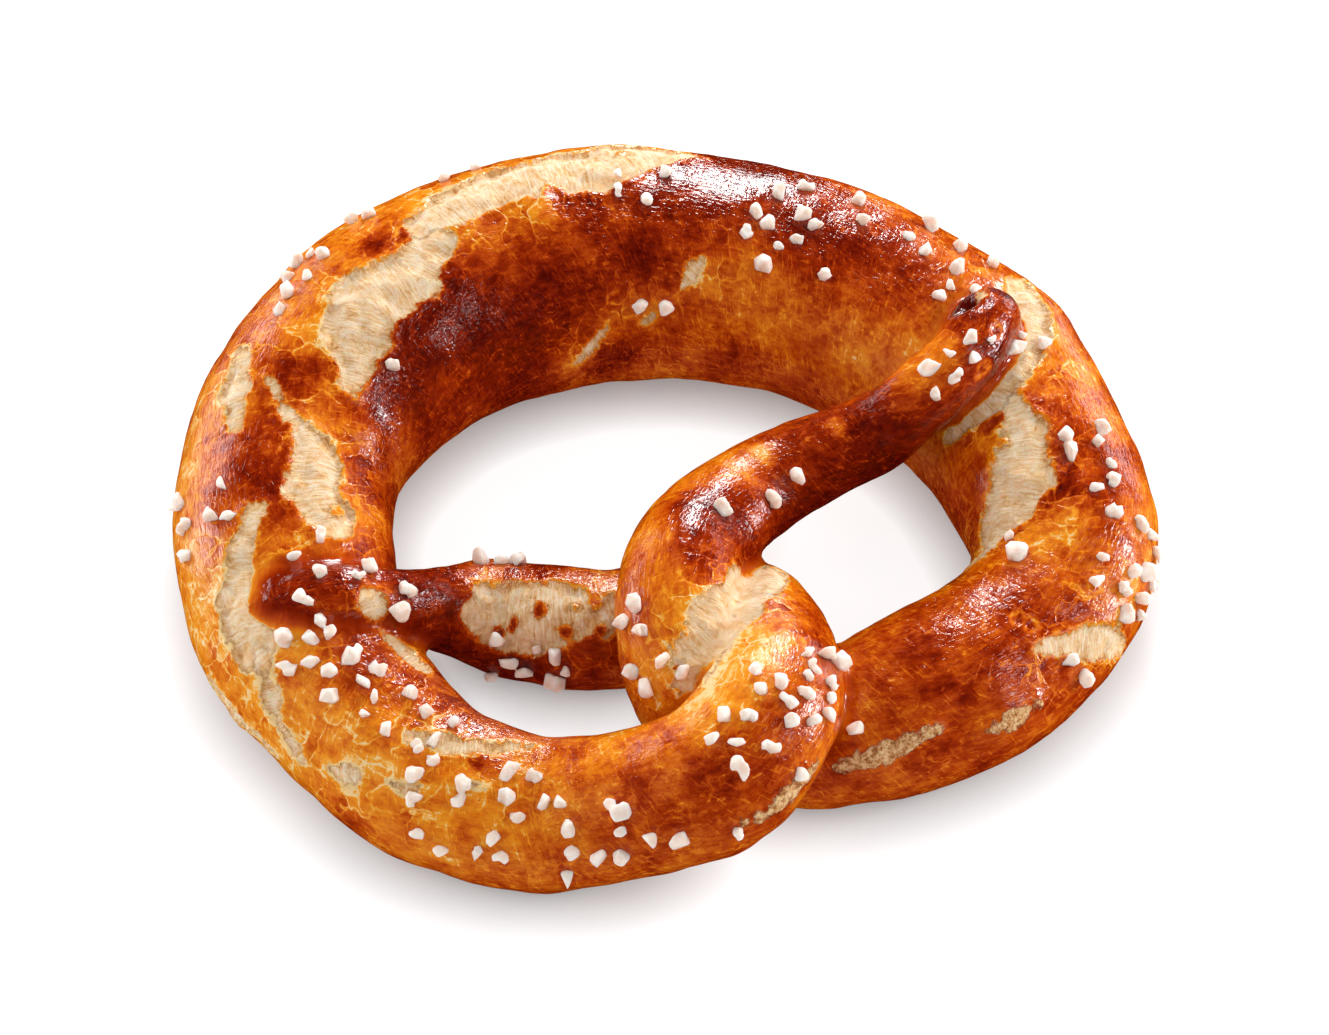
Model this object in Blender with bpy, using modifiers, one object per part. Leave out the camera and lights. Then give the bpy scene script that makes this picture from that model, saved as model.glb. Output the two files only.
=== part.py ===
"""A bavarian pretzel, baked from one rope of dough that is thick in its middle and thin at its ends.

Metres, +Z up. It lies on the flat base that the baking tray gave it, at z = 0, with its thick
back towards +Y and the twist of its two arms towards -Y. The rope is followed from its right end:
in along the right arm, round the left lobe of the twist and under the other strand, round the ring
and its thick back, round the right lobe of the twist over the first strand, and out along the left arm.
"Along" is the distance along the rope in mm, and "around" the angle round its section in degrees:
0 points out of the ring, 90 up and 180 into the ring.
"""

import math
import random

import bmesh
import bpy
import numpy as np
from mathutils import Matrix, Vector, noise
from mathutils.bvhtree import BVHTree
from mathutils.kdtree import KDTree

MM = 0.001

# Where the rope runs: x, y, gap under it, width and height, all in mm
ROPE_STATIONS = (
    (60.5, -1.0, 25.0, 12.5, 12.0),
    (51.5, -7.5, 25.0, 12.5, 12.0),
    (42.5, -9.5, 21.0, 13.0, 12.0),
    (35.0, -8.0, 14.0, 14.5, 13.5),
    (15.5, -8.0, 8.0, 17.5, 16.5),
    (3.0, -14.5, 10.0, 19.0, 17.5),
    (-8.0, -26.5, 14.0, 19.0, 17.0),
    (-11.5, -37.5, 10.0, 19.5, 18.0),
    (-8.0, -44.5, 2.0, 21.0, 19.0),
    (1.5, -50.5, 0.0, 23.5, 20.0),
    (23.5, -54.0, 0.0, 29.5, 25.0),
    (38.5, -51.5, 0.0, 29.5, 25.0),
    (51.5, -44.5, 0.0, 30.0, 25.5),
    (59.0, -33.5, 0.0, 32.5, 27.5),
    (61.0, -1.0, 0.0, 38.0, 31.0),
    (43.0, 31.5, 0.0, 42.0, 35.0),
    (12.0, 50.5, 0.0, 44.5, 38.0),
    (-23.5, 51.0, 0.0, 43.5, 37.0),
    (-52.0, 31.5, 0.0, 38.0, 32.0),
    (-63.0, -0.5, 0.0, 34.0, 28.5),
    (-57.0, -30.5, 0.0, 28.0, 24.0),
    (-49.0, -42.5, 0.0, 26.0, 23.0),
    (-38.0, -50.0, 0.0, 24.5, 22.0),
    (-17.0, -60.5, 9.0, 24.5, 22.0),
    (-6.0, -55.5, 13.0, 22.5, 20.5),
    (2.5, -41.5, 9.0, 20.0, 18.0),
    (4.5, -24.5, 2.0, 18.5, 17.0),
    (-3.5, -18.5, 0.0, 19.0, 17.0),
    (-16.0, -18.5, 0.0, 20.0, 18.0),
    (-33.0, -8.5, 1.0, 19.0, 17.0),
    (-40.5, -7.5, 5.0, 14.5, 14.0),
    (-48.0, -8.5, 12.0, 13.0, 12.5),
    (-56.0, -7.5, 16.5, 13.0, 12.0),
    (-61.5, -5.5, 17.5, 13.0, 11.0),
    (-65.5, -3.0, 17.0, 11.5, 10.0),
)
# How deep the tray flattens the round section, and the gap at which a strand no longer touches it
BASE_DEPTH = 2.0
BASE_GAP = 4.0
RING_STEP = 1.6
RING_SIDES = 36
TIP_RINGS = 6
TIP_LENGTH = 0.9
TIP_END = 0.03
CURVE_SAMPLES = 40

# Tears in the crust, each a line of (along, around, half width) in mm, degrees and mm
TEARS = {
    "left_shoulder": ((322, 101, 1.5), (330, 107, 5.0), (340, 99, 6.5), (347, 107, 4.6), (356, 118, 1.2)),
    "back": ((276, 58, 1.0), (283, 64, 4.0), (292, 76, 6.8), (305, 77, 6.0), (314, 80, 5.0), (322, 84, 3.6)),
    "left_side": ((360, 80, 0.8), (368, 100, 1.5), (373, 110, 3.6), (381, 110, 4.2), (389, 118, 3.6)),
    "left_outer": ((385, 80, 1.2), (393, 66, 2.2), (398, 58, 3.2), (404, 49, 3.0), (407, 48, 1.0)),
    "left_arm": ((585, 138, 2.5), (579, 134, 5.4), (569, 122, 5.8), (559, 108, 4.4), (553, 102, 2.0)),
    "left_lobe": ((76, 178, 1.2), (86, 152, 3.2), (93, 117, 3.8), (96, 85, 3.2), (98, 60, 1.5)),
    "right_lobe": ((524, 76, 3.2), (518, 97, 3.2), (512, 117, 2.6), (505, 133, 2.2), (496, 147, 1.0)),
    "under_right_end": ((222, 55, 2.2), (214, 70, 2.6), (209, 89, 1.7), (205, 112, 2.1), (204, 138, 1.9)),
    "right_side": ((203, 103, 1.5), (196, 107, 3.4), (188, 118, 5.2), (180, 132, 4.8), (171, 140, 1.5)),
    "right_outer": ((155, 58, 0.6), (160, 45, 2.0), (166, 22, 3.0), (169, 4, 1.4)),
}
TEAR_DEPTH = 1.6
TEAR_SLOPE = 2.5
TEAR_REACH = 14.0
LIP_HEIGHT = 0.45
LIP_WIDTH = 1.6

# Swellings and hollows of the dough: along, around, radius and height in mm. Each fades out within a
# few radii
LUMPS = (
    (219, 42, 8.0, 1.6),
    (127, 34, 5.0, 1.0),
    (147, 27, 4.5, 0.9),
    (487, 17, 5.0, 0.9),
    (29, 190, 7.0, 0.8),
    (62, 150, 8.0, 0.7),
    (355, 78, 6.0, 0.8),
    (378, 86, 8.0, 0.7),
    (338, 134, 6.0, 0.9),
    (364, 137, 5.0, 0.8),
    (303, 101, 4.0, 0.8),
    (4, 112, 5.0, 0.6),
    (1, 46, 2.4, -3.6),
)
LUMP_REACH = 2.5
# Broad and fine unevenness of the dough: size and height in mm
SWELLS = ((22.0, 0.9), (7.0, 0.35))

# Salt drifts: along, around, spread along in mm, spread around in degrees, number of grains
SALT_DRIFTS = (
    (13, 112, 5, 18, 7),
    (47, 125, 26, 14, 3),
    (92, 44, 4, 26, 7),
    (128, 52, 3, 8, 1),
    (166, 42, 9, 30, 7),
    (175, 28, 6, 18, 7),
    (189, 74, 8, 16, 8),
    (170, 116, 6, 8, 2),
    (215, 76, 5, 14, 3),
    (233, 76, 8, 28, 9),
    (256, 88, 9, 36, 13),
    (283, 94, 8, 12, 4),
    (285, 152, 9, 6, 2),
    (318, 50, 10, 8, 4),
    (341, 57, 6, 14, 7),
    (346, 133, 3, 6, 1),
    (383, 48, 6, 26, 6),
    (393, 102, 3, 10, 2),
    (414, 78, 7, 26, 11),
    (430, 88, 8, 26, 10),
    (443, 44, 8, 26, 8),
    (452, 70, 6, 16, 5),
    (466, 34, 6, 32, 8),
    (482, 22, 7, 18, 4),
    (491, 78, 5, 24, 12),
    (499, 48, 5, 18, 9),
    (569, 172, 9, 24, 8),
    (575, 54, 7, 10, 3),
    (604, 100, 8, 46, 6),
)
SALT_SEED = 11
GRAIN_SIZE = (2.5, 4.0)
GRAIN_SIDE = 0.75
GRAIN_SINK = 0.3
GRAIN_SPACING = 0.95
GRAIN_ROUGHNESS = 0.22
GRAIN_STRETCH = (0.8, 1.2)
LOWEST_GRAIN = 4.0
HIDDEN_BY = 1.5
TRIES_PER_GRAIN = 40

# Mesh sizes: the skin's voxel in mm, how often it is smoothed, and the triangles that are kept of it
SKIN_VOXEL = 1.4
SKIN_SOFTENING = 0.5
SKIN_SMOOTHINGS = 4
SKIN_TRIANGLES = 5300
# Degrees between the points round each section that tell which stretch of rope a place belongs to
SEARCH_STEP = 6
# The baking tray that flattens the base: length, width and thickness in m
TRAY_SIZE = (0.3, 0.3, 0.02)

CRUST_COLOUR = (0.42, 0.13, 0.025, 1.0)
CRUST_ROUGHNESS = 0.38


def clear_scene():
    for thing in list(bpy.data.objects):
        bpy.data.objects.remove(thing, do_unlink=True)


def make_collection(name):
    made = bpy.data.collections.new(name)
    bpy.context.scene.collection.children.link(made)
    return made


def baked_material():
    made = bpy.data.materials.new("baked_crust")
    made.use_nodes = True
    shader = made.node_tree.nodes["Principled BSDF"]
    shader.inputs["Base Color"].default_value = CRUST_COLOUR
    shader.inputs["Roughness"].default_value = CRUST_ROUGHNESS
    shader.inputs["Metallic"].default_value = 0.0
    made.diffuse_color = CRUST_COLOUR
    return made


def station_rows():
    """Each station as x, y, z of the rope's middle, half width and half height."""
    rows = []
    for x, y, gap, wide, high in ROPE_STATIONS:
        flattened = BASE_DEPTH * max(0.0, 1.0 - gap / BASE_GAP)
        rows.append((x, y, gap + high / 2 - flattened, wide / 2, high / 2))
    return np.array(rows)


def smooth_curve(rows):
    """A centripetal Catmull-Rom curve through the rows."""
    gaps = np.linalg.norm(np.diff(rows[:, :3], axis=0), axis=1) ** 0.5
    slopes = np.diff(rows, axis=0) / gaps[:, None]
    before, after = gaps[:-1, None], gaps[1:, None]
    inner = (slopes[:-1] * after + slopes[1:] * before) / (before + after)
    slopes = np.vstack([slopes[:1], inner, slopes[-1:]])
    u = (np.arange(CURVE_SAMPLES) / CURVE_SAMPLES)[:, None]
    spans = []
    for i, gap in enumerate(gaps):
        spans.append(
            (2 * u**3 - 3 * u**2 + 1) * rows[i]
            + (u**3 - 2 * u**2 + u) * gap * slopes[i]
            + (3 * u**2 - 2 * u**3) * rows[i + 1]
            + (u**3 - u**2) * gap * slopes[i + 1]
        )
    return np.vstack([*spans, rows[-1:]])


class Rope:
    """The rope of dough as evenly spaced sections, with rounded tips."""

    def __init__(self):
        curve = smooth_curve(station_rows())
        steps = np.linalg.norm(np.diff(curve[:, :3], axis=0), axis=1)
        run = np.concatenate([[0.0], np.cumsum(steps)])
        self.length = run[-1]
        along = np.linspace(0.0, self.length, round(self.length / RING_STEP) + 1)
        rows = np.array([np.interp(along, run, column) for column in curve.T]).T
        first = self.tip(rows[0], rows[0] - rows[1])
        last = self.tip(rows[-1], rows[-1] - rows[-2])
        reach = TIP_LENGTH * np.sin(np.arange(1, TIP_RINGS + 1) / TIP_RINGS * math.pi / 2)
        self.rows = np.vstack([first[::-1], rows, last])
        self.along = np.concatenate([-reach[::-1] * rows[0, 3], along, self.length + reach * rows[-1, 3]])
        self.forward = np.gradient(self.rows[:, :3], axis=0)
        self.forward /= np.linalg.norm(self.forward, axis=1, keepdims=True)
        self.out = np.cross(self.forward, [0.0, 0.0, 1.0])
        self.out /= np.linalg.norm(self.out, axis=1, keepdims=True)
        self.up = np.cross(self.out, self.forward)

    def tip(self, row, onward):
        """Sections that shrink to a round end."""
        onward = onward[:3] / np.linalg.norm(onward[:3])
        rings = []
        for i in range(1, TIP_RINGS + 1):
            turn = i / TIP_RINGS * math.pi / 2
            ring = row.copy()
            ring[:3] += onward * row[3] * TIP_LENGTH * math.sin(turn)
            ring[3:] *= max(math.cos(turn), TIP_END)
            rings.append(ring)
        return np.array(rings)

    def section(self, index, around):
        """Points of one section in mm, and the way out of its skin at each."""
        turn = np.radians(np.atleast_1d(around))[:, None]
        x, y, z, wide, high = self.rows[index]
        points = (
            np.array([x, y, z])
            + wide * np.cos(turn) * self.out[index]
            + high * np.sin(turn) * self.up[index]
        )
        normals = np.cos(turn) / wide * self.out[index] + np.sin(turn) / high * self.up[index]
        return points, normals / np.linalg.norm(normals, axis=1, keepdims=True)

    def place(self, along, around):
        """The point of the skin at a place on the rope, and the way out of it."""
        index = int(np.abs(self.along - along).argmin())
        points, normals = self.section(index, around)
        return Vector(points[0]), Vector(normals[0])


def rope_body(rope):
    """A closed tube lofted through the rope's unlike sections. It crosses itself in the twist."""
    around = np.arange(RING_SIDES) * 360.0 / RING_SIDES
    body = bmesh.new()
    rings = []
    for index in range(len(rope.rows)):
        points, _ = rope.section(index, around)
        rings.append([body.verts.new(point * MM) for point in points])
    for near, far in zip(rings, rings[1:]):
        for i in range(RING_SIDES):
            j = (i + 1) % RING_SIDES
            body.faces.new((near[i], near[j], far[j], far[i]))
    body.faces.new(rings[0][::-1])
    body.faces.new(rings[-1])
    bmesh.ops.recalc_face_normals(body, faces=body.faces)
    mesh = bpy.data.meshes.new("pretzel")
    body.to_mesh(mesh)
    body.free()
    return mesh


def apply_modifiers(thing):
    """Replaces the object's mesh with what its modifiers make of it."""
    graph = bpy.context.evaluated_depsgraph_get()
    made = bpy.data.meshes.new_from_object(thing.evaluated_get(graph))
    thing.modifiers.clear()
    thing.data = made


def weld_strands(thing):
    """One skin over the rope, with the strands grown together where they cross."""
    weld = thing.modifiers.new("weld_strands", "REMESH")
    weld.mode = "VOXEL"
    weld.voxel_size = SKIN_VOXEL * MM
    soften = thing.modifiers.new("soften", "SMOOTH")
    soften.factor = SKIN_SOFTENING
    soften.iterations = SKIN_SMOOTHINGS
    apply_modifiers(thing)


def tear_depth(along, around, radius):
    """How far inside the nearest tear a place is, in mm, and below zero outside it."""
    deepest = -1e3
    for line in TEARS.values():
        for (a0, r0, w0), (a1, r1, w1) in zip(line, line[1:]):
            if not min(a0, a1) - TEAR_REACH < along < max(a0, a1) + TEAR_REACH:
                continue
            run = Vector((a1 - a0, math.radians(r1 - r0) * radius))
            here = Vector((along - a0, math.radians(around - r0) * radius))
            share = min(max(here.dot(run) / run.length_squared, 0.0), 1.0)
            deepest = max(deepest, w0 + (w1 - w0) * share - (here - run * share).length)
    return deepest


def relief(rope, index, point):
    """How far the skin stands out at a point, in mm."""
    offset = point - rope.rows[index, :3]
    wide, high = rope.rows[index, 3:]
    along = rope.along[index] + offset @ rope.forward[index]
    around = math.degrees(math.atan2(offset @ rope.up[index] / high, offset @ rope.out[index] / wide))
    if around < -90:
        around += 360
    radius = (wide + high) / 2
    inside = tear_depth(along, around, radius)
    rise = 0.0
    if inside > 0:
        rise -= TEAR_DEPTH * min(inside / TEAR_SLOPE, 1.0)
    elif inside > -2 * LIP_WIDTH:
        rise += LIP_HEIGHT * math.exp(-((inside / LIP_WIDTH) ** 2))
    for lump_along, lump_around, size, height in LUMPS:
        away = math.hypot(along - lump_along, math.radians(around - lump_around) * radius) / size
        if away < LUMP_REACH:
            rise += height * math.exp(-away * away)
    for size, height in SWELLS:
        rise += height * noise.noise(Vector(point) / size)
    return rise


def shape_skin(thing, rope):
    """Moves the skin in and out: tears with raised lips, lumps, hollows and unevenness."""
    around = np.arange(0, 360, SEARCH_STEP)
    tree = KDTree(len(rope.rows) * len(around))
    for index in range(len(rope.rows)):
        for point in rope.section(index, around)[0]:
            tree.insert(point, index)
    tree.balance()
    spots = [tree.find(vertex.co / MM)[1] for vertex in thing.data.vertices]
    moved = []
    for vertex, spot in zip(thing.data.vertices, spots):
        rise = relief(rope, spot, np.array(vertex.co) / MM)
        moved.append(vertex.co + vertex.normal * rise * MM)
    for vertex, place in zip(thing.data.vertices, moved):
        vertex.co = place


def lighten(thing):
    """Fewer triangles on the skin, close together only where it bends."""
    fewer = thing.modifiers.new("lighten", "DECIMATE")
    triangles = sum(len(face.vertices) - 2 for face in thing.data.polygons)
    fewer.ratio = SKIN_TRIANGLES / triangles
    apply_modifiers(thing)


def make_tray(cutters):
    """The space of the baking tray, which gives the rope its flat base."""
    bpy.ops.mesh.primitive_cube_add(size=1.0, location=(0.0, 0.0, -TRAY_SIZE[2] / 2))
    tray = bpy.context.object
    tray.name = "tray"
    tray.data.transform(Matrix.Diagonal((*TRAY_SIZE, 1.0)))
    for held in tray.users_collection:
        held.objects.unlink(tray)
    cutters.objects.link(tray)
    tray.hide_render = True
    tray.display_type = "WIRE"
    return tray


def flatten_base(thing, cutters):
    tray = make_tray(cutters)
    cut = thing.modifiers.new("flat_base", "BOOLEAN")
    cut.operation = "DIFFERENCE"
    cut.object = tray
    apply_modifiers(thing)
    bpy.data.objects.remove(tray)


def grain_places(rope, skin):
    """Where each grain lies and how big it is: point, way out of the skin, and size in mm."""
    draw = random.Random(SALT_SEED)
    tree = BVHTree.FromPolygons([v.co for v in skin.vertices], [p.vertices for p in skin.polygons])
    placed = []
    for along, around, spread_along, spread_around, count in SALT_DRIFTS:
        wanted = len(placed) + count
        for _ in range(TRIES_PER_GRAIN * count):
            if len(placed) == wanted:
                break
            size = draw.uniform(*GRAIN_SIZE)
            point, out = rope.place(
                along + draw.uniform(-1, 1) * spread_along,
                around + draw.uniform(-1, 1) * spread_around,
            )
            spot, _, _, away = tree.find_nearest(point * MM)
            if away > HIDDEN_BY * MM or spot.z < LOWEST_GRAIN * MM:
                continue
            spot = spot / MM
            if all((spot - other).length > GRAIN_SPACING * (size + near) / 2 for other, _, near in placed):
                placed.append((spot, out, size))
    return placed


def add_salt(thing, rope):
    """Coarse grains of salt, sunk a little into the crust and fused to it."""
    salt = make_collection("salt")
    draw = random.Random(SALT_SEED + 1)
    for spot, out, size in grain_places(rope, thing.data):
        grain = bmesh.new()
        bmesh.ops.create_cube(grain, size=size * GRAIN_SIDE)
        stretch = Vector([draw.uniform(*GRAIN_STRETCH) for _ in range(3)])
        for vertex in grain.verts:
            vertex.co *= 1.0 + draw.uniform(-1, 1) * GRAIN_ROUGHNESS
            vertex.co = Vector(a * b for a, b in zip(vertex.co, stretch))
        turn = Matrix.Rotation(draw.uniform(0, math.tau), 4, Vector([draw.gauss(0, 1) for _ in range(3)]))
        centre = spot + out * size * (0.5 - GRAIN_SINK)
        grain.transform(Matrix.Scale(MM, 4) @ Matrix.Translation(centre) @ turn)
        mesh = bpy.data.meshes.new("grain")
        grain.to_mesh(mesh)
        grain.free()
        salt.objects.link(bpy.data.objects.new("grain", mesh))
    fuse = thing.modifiers.new("salt", "BOOLEAN")
    fuse.operation = "UNION"
    fuse.operand_type = "COLLECTION"
    fuse.collection = salt
    apply_modifiers(thing)
    for grain in list(salt.objects):
        bpy.data.objects.remove(grain)
    bpy.data.collections.remove(salt)


def make_pretzel():
    pretzel_parts = make_collection("bavarian_pretzel")
    cutters = make_collection("cutters")
    rope = Rope()
    pretzel = bpy.data.objects.new("pretzel", rope_body(rope))
    pretzel_parts.objects.link(pretzel)
    weld_strands(pretzel)
    shape_skin(pretzel, rope)
    lighten(pretzel)
    flatten_base(pretzel, cutters)
    add_salt(pretzel, rope)
    pretzel.data.materials.clear()
    pretzel.data.materials.append(baked_material())
    pretzel.data.shade_smooth()


clear_scene()
make_pretzel()
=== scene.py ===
import math
import random

import bmesh
import bpy
import numpy as np
from mathutils import Matrix, Vector, noise
from mathutils.bvhtree import BVHTree
from mathutils.kdtree import KDTree


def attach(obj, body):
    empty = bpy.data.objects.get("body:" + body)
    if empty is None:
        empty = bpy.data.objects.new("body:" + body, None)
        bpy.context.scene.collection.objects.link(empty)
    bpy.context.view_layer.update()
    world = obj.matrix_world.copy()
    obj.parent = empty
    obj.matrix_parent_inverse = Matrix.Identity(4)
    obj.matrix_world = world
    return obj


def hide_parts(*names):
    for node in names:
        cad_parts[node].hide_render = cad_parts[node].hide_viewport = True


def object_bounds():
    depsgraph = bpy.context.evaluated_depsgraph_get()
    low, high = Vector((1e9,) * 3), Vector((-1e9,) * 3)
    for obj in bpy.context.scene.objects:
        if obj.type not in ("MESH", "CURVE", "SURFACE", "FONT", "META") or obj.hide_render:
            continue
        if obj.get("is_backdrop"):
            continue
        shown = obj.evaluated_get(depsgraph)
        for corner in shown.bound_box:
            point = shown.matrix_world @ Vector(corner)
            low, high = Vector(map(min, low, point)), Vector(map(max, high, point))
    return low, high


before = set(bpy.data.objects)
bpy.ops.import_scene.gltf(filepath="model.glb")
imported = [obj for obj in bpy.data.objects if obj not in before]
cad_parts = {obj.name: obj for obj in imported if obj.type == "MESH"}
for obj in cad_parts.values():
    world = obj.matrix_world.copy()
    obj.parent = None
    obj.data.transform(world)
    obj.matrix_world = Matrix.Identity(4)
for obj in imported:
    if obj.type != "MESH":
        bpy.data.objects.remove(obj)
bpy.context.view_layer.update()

# The pretzel: one rope of wheat dough, thick in its middle and thin at its ends, twisted, dipped in
# lye and baked on a tray until its skin is a glossy brown crust. Where the dough rose faster than the
# crust could follow, the crust tore and the pale crumb under it shows.

# Sizes are given in mm, and the scene is in metres
MM = 0.001
# Where the rope runs, followed from its right end: x, y, gap under it, width and height
ROPE_STATIONS = (
    (60.5, -1.0, 25.0, 12.5, 12.0),
    (51.5, -7.5, 25.0, 12.5, 12.0),
    (42.5, -9.5, 21.0, 13.0, 12.0),
    (35.0, -8.0, 14.0, 14.5, 13.5),
    (15.5, -8.0, 8.0, 17.5, 16.5),
    (3.0, -14.5, 10.0, 19.0, 17.5),
    (-8.0, -26.5, 14.0, 19.0, 17.0),
    (-11.5, -37.5, 10.0, 19.5, 18.0),
    (-8.0, -44.5, 2.0, 21.0, 19.0),
    (1.5, -50.5, 0.0, 23.5, 20.0),
    (23.5, -54.0, 0.0, 29.5, 25.0),
    (38.5, -51.5, 0.0, 29.5, 25.0),
    (51.5, -44.5, 0.0, 30.0, 25.5),
    (59.0, -33.5, 0.0, 32.5, 27.5),
    (61.0, -1.0, 0.0, 38.0, 31.0),
    (43.0, 31.5, 0.0, 42.0, 35.0),
    (12.0, 50.5, 0.0, 44.5, 38.0),
    (-23.5, 51.0, 0.0, 43.5, 37.0),
    (-52.0, 31.5, 0.0, 38.0, 32.0),
    (-63.0, -0.5, 0.0, 34.0, 28.5),
    (-57.0, -30.5, 0.0, 28.0, 24.0),
    (-49.0, -42.5, 0.0, 26.0, 23.0),
    (-38.0, -50.0, 0.0, 24.5, 22.0),
    (-17.0, -60.5, 9.0, 24.5, 22.0),
    (-6.0, -55.5, 13.0, 22.5, 20.5),
    (2.5, -41.5, 9.0, 20.0, 18.0),
    (4.5, -24.5, 2.0, 18.5, 17.0),
    (-3.5, -18.5, 0.0, 19.0, 17.0),
    (-16.0, -18.5, 0.0, 20.0, 18.0),
    (-33.0, -8.5, 1.0, 19.0, 17.0),
    (-40.5, -7.5, 5.0, 14.5, 14.0),
    (-48.0, -8.5, 12.0, 13.0, 12.5),
    (-56.0, -7.5, 16.5, 13.0, 12.0),
    (-61.5, -5.5, 17.5, 13.0, 11.0),
    (-65.5, -3.0, 17.0, 11.5, 10.0),
)
# How deep the tray flattens the round section, and the gap at which a strand no longer touches it
BASE_DEPTH = 2.0
BASE_GAP = 4.0
# The rope's mesh: points of the curve between two stations, mm between its sections, and their corners
CURVE_POINTS = 40
RING_STEP = 1.6
RING_SIDES = 48
# A round end: its sections, its length in half widths of the rope, and how small its last section is
TIP_RINGS = 6
TIP_LENGTH = 0.9
TIP_END = 0.03
# The skin that joins the strands: the size of its mesh in mm, and how much it is softened
SKIN_VOXEL = 0.75
SKIN_SOFTENING = 0.5
SOFTENING_ROUNDS = 10
# To find a point's place on the rope: degrees between the places tried, how often the best of them is
# made more exact, and by how many sections at most
SEARCH_STEP = 6
SEARCH_ROUNDS = 2
SEARCH_RINGS = 3
# Where strands meet: the least jump along the rope that counts in mm, the seam's value in its middle,
# which is cut to 1, the mm in which it falls by 1, and how often values are evened out near the seam
STRAND_JUMP = 12.0
SEAM_VALUE = 1.4
SEAM_FADE = 1.1
SEAM_EVENINGS = 5

# Tears in the crust. Each is a line of places on the rope: along it in mm, round it in degrees
# (0 out of the ring, 90 up, 180 into the ring), and half the tear's width in mm
TEARS = {
    "left_shoulder": ((322, 94, 3.0), (330, 106, 4.8), (340, 99, 6.3), (347, 107, 4.6), (356, 118, 1.2)),
    "back": (
        (276, 58, 1.0), (283, 64, 4.0), (292, 76, 6.8), (305, 77, 6.0), (314, 80, 5.0), (322, 84, 3.6),
    ),
    "left_side": ((360, 80, 0.8), (368, 100, 1.5), (373, 110, 3.6), (381, 110, 4.2), (389, 118, 3.6)),
    "left_outer": ((385, 80, 1.2), (393, 66, 2.2), (398, 58, 4.0), (404, 51, 4.2), (408, 50, 2.0)),
    "left_arm": ((585, 138, 2.5), (579, 134, 5.4), (569, 122, 5.8), (559, 108, 4.4), (553, 102, 2.0)),
    "left_lobe": ((76, 178, 1.2), (86, 152, 3.2), (93, 117, 3.8), (96, 85, 3.2), (98, 60, 1.5)),
    "right_lobe": ((524, 76, 3.2), (518, 97, 3.2), (512, 117, 2.6), (505, 133, 2.2), (496, 147, 1.0)),
    "under_right_end": ((222, 55, 2.2), (214, 70, 2.6), (209, 89, 1.7), (205, 112, 2.6), (204, 138, 2.5)),
    "right_side": ((203, 103, 1.5), (196, 107, 3.4), (188, 118, 5.2), (180, 132, 4.8), (171, 140, 1.5)),
    "right_side_tail": ((171, 141, 1.3), (167, 146, 1.3), (163, 148, 0.6)),
    "right_outer": ((155, 58, 0.6), (160, 45, 2.0), (165, 27, 2.8), (167, 12, 1.2)),
    "left_small": ((356, 58, 1.8), (362, 62, 2.7), (368, 67, 1.2)),
    "front_left_edge": ((403, 4, 1.0), (410, 0, 1.2), (416, 3, 0.5)),
    "front_left_band": ((407, 50, 0.6), (410, 44, 1.4), (414, 34, 1.6), (418, 27, 1.3), (421, 23, 0.5)),
    "front_fleck_left": ((425, 31, 0.4), (428, 37, 1.2), (430, 42, 0.4)),
    "front_fleck_middle": ((434, 49, 0.3), (437, 53, 1.0), (438, 57, 0.3)),
    "front_fleck_right": ((443, 69, 0.3), (445, 72, 0.9), (447, 74, 0.3)),
    "below_left_end": ((403, 66, 1.0), (405, 74, 1.6), (406, 82, 1.0)),
    "inner_left_stripe": ((411, 120, 1.4), (418, 128, 2.4), (423, 134, 1.2)),
    "left_end_side": ((602, 122, 1.2), (601, 138, 1.8)),
    "belly_upper": ((273, 127, 0.5), (275, 135, 1.5), (277, 143, 0.6)),
    "belly_middle": ((281, 152, 0.6), (285, 161, 0.6)),
    "belly_lower": ((294, 162, 0.4), (299, 173, 1.1), (303, 181, 0.3)),
    "front_long": ((433, 82, 0.6), (438, 92, 1.5), (444, 103, 0.8)),
    "front_long_end": ((446, 108, 0.6), (450, 113, 0.9), (453, 114, 0.3)),
    "right_end_hole": ((-1, 66, 0.9), (0, 84, 1.1)),
}
# What counts as outside all tears, and the rope's usual radius, both in mm
FAR_OUTSIDE = -1000.0
USUAL_RADIUS = 15.0
# Scraps of crust left on the torn crumb: along, around and radius in mm
SCRAPS = (
    (300, 92, 2.2),
    (314, 62, 1.8),
    (292, 70, 0.8),
    (288, 66, 0.9),
    (386, 122, 1.9),
    (574, 140, 1.0),
    (562, 128, 1.3),
    (571, 128, 1.1),
    (558, 96, 1.5),
    (555, 112, 1.2),
    (97, 98, 1.1),
    (516, 78, 1.0),
    (552, 104, 1.1),
    (561, 104, 0.9),
    (566, 112, 0.8),
    (557, 124, 1.0),
    (577, 146, 0.8),
    (196, 121, 1.5),
)
# Patches rubbed open where strands grew apart, down to a rough brown crumb
RUBBED = {
    "right_front": ((124, 32, 0.8), (131, 36, 1.5), (138, 40, 0.8)),
    "right_low": ((144, 28, 0.8), (147, 28, 1.7), (151, 29, 0.8)),
    "lobe_low": ((484, 20, 0.8), (487, 21, 1.6), (491, 15, 0.8)),
}
# The ragged edge of a rubbed patch: size and reach in mm; its grit: height and size in mm
RUBBED_TEETH = (2.0, 0.8)
GRIT_HEIGHT = 0.3
GRIT_SIZE = 1.2
# A tear's crumb lies this deep under the crust's edge, in mm, and the step is this wide
RIM_DROP = 0.8
RIM_SLOPE = 0.9
# A narrow tear is shallower: the half width in mm that gives the full drop, and the least share of it
FULL_DROP_HALF = 3.0
LEAST_DROP = 0.4
# The swell in a tear's middle in mm, the half width that gives it in full, and the least share of it
CRUMB_SWELL = 0.8
FULL_SWELL_HALF = 4.5
LEAST_SWELL = 0.3
THINNEST_HALF = 0.5
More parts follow.
